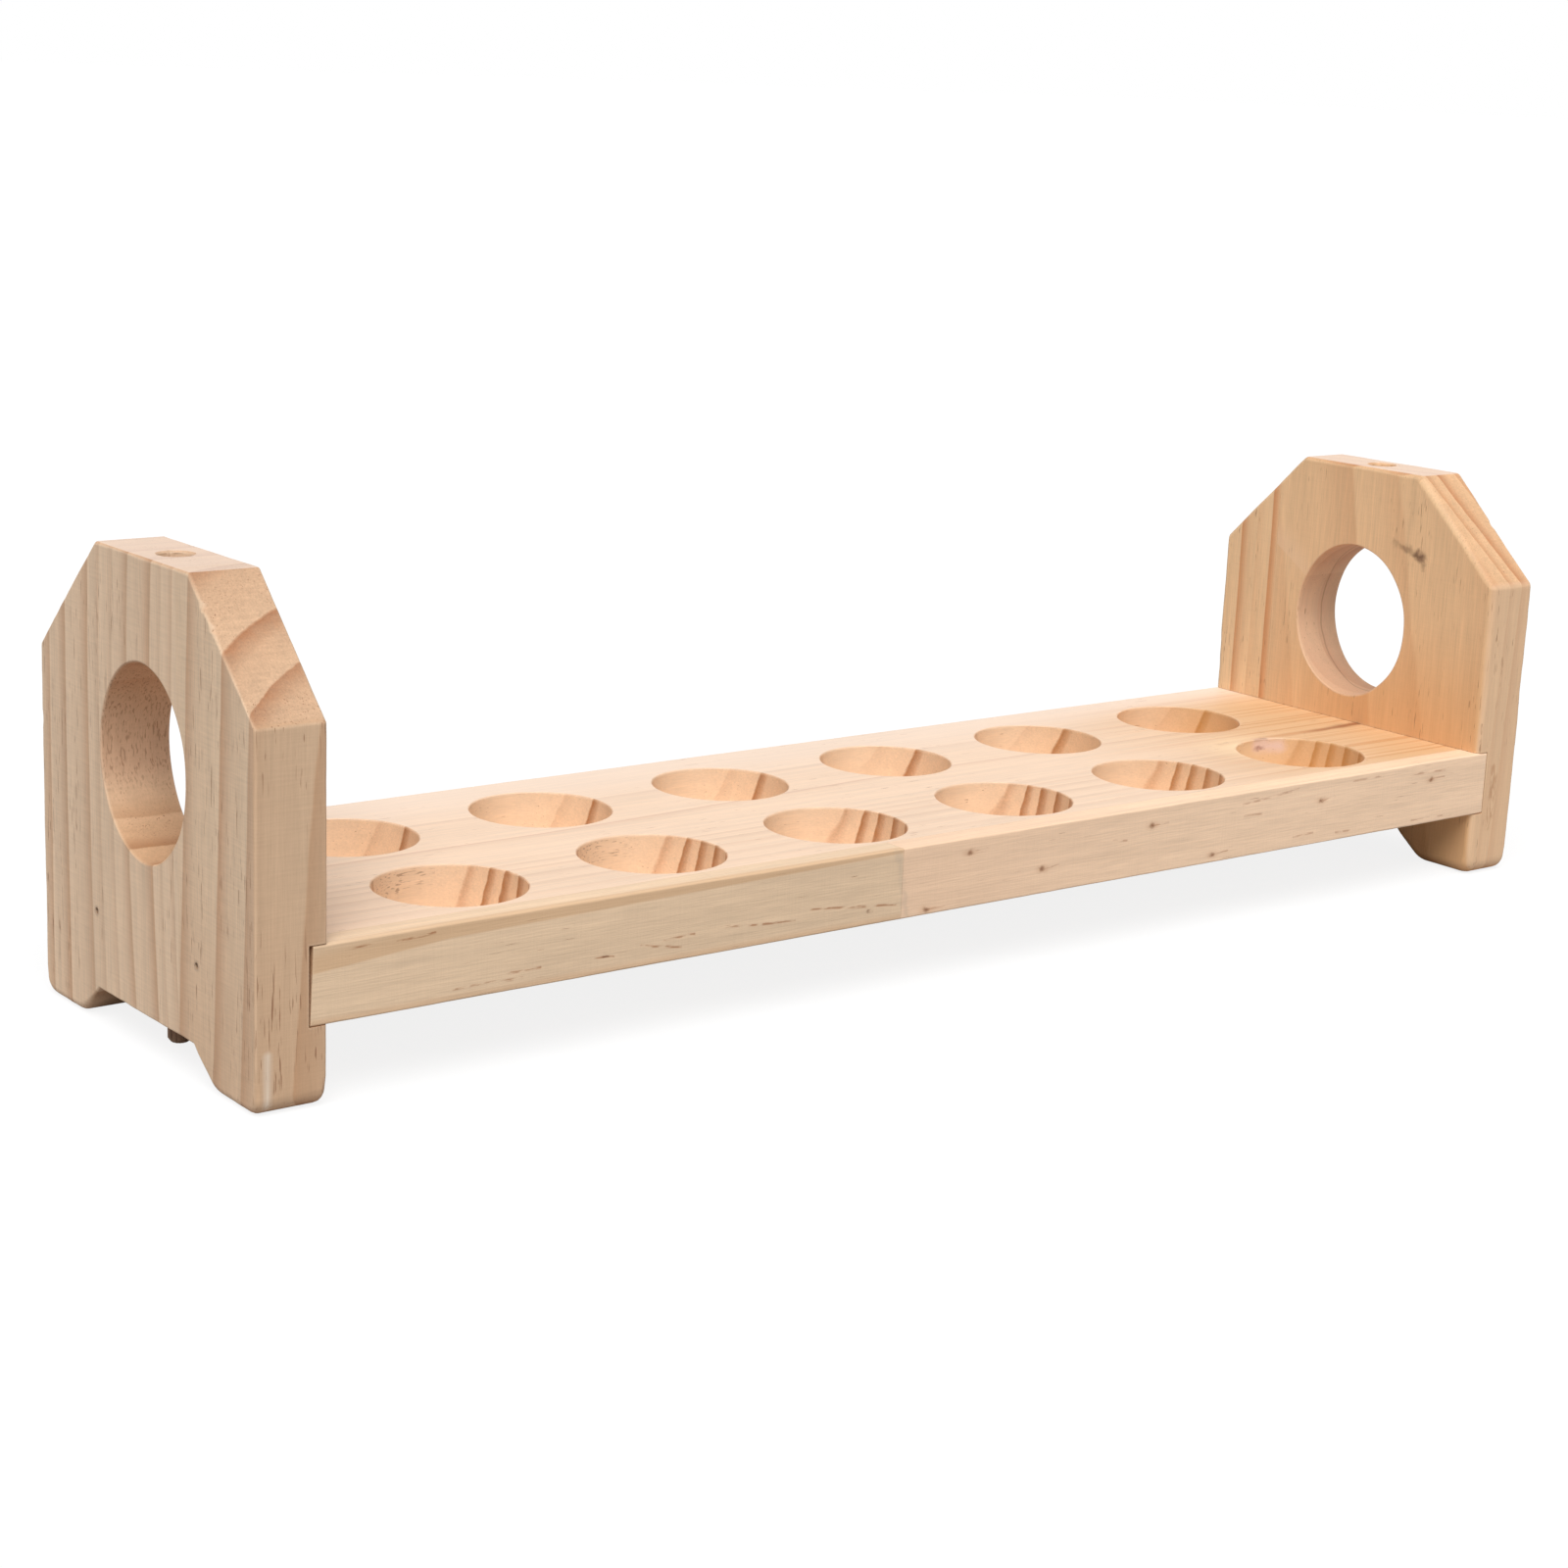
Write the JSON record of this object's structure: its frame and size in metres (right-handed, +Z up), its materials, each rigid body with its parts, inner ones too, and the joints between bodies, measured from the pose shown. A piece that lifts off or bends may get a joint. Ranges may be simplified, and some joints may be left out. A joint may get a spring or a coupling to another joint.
{
  "type": "paint rack organizer",
  "caption": "Stackable wooden rack: a shelf with rows of round bottle pockets between end boards with hand holes, feet and stacking pegs.",
  "frame": {"origin": "centre of the footprint, on the ground under the feet", "axes": "+X along the rack's length towards the right end, +Y from the front edge to the back, +Z up"},
  "size_m": [0.43, 0.11, 0.1185],
  "materials": {
    "left_end_pine": "sanded bare pine, matt to satin",
    "right_end_pine": "sanded bare pine, warmer, matt to satin",
    "shelf_pine": "sanded bare pine, pale, matt to satin",
    "peg_wood": "rough darker hardwood",
    "brad_steel": "plain steel wire"
  },
  "bodies": {
    "root": {"left_end_main_board": "left_end_pine", "left_end_front_stave": "left_end_pine", "right_end_main_board": "right_end_pine", "right_end_rear_stave": "right_end_pine", "shelf_main_board": "shelf_pine", "shelf_edge_strip_left": "shelf_pine", "shelf_edge_strip_right": "shelf_pine", "left_stacking_peg": "peg_wood", "right_stacking_peg": "peg_wood", "brad_left_front": "brad_steel", "brad_left_rear": "brad_steel", "brad_right_front": "brad_steel", "brad_right_rear": "brad_steel"}
  },
  "joints": []
}
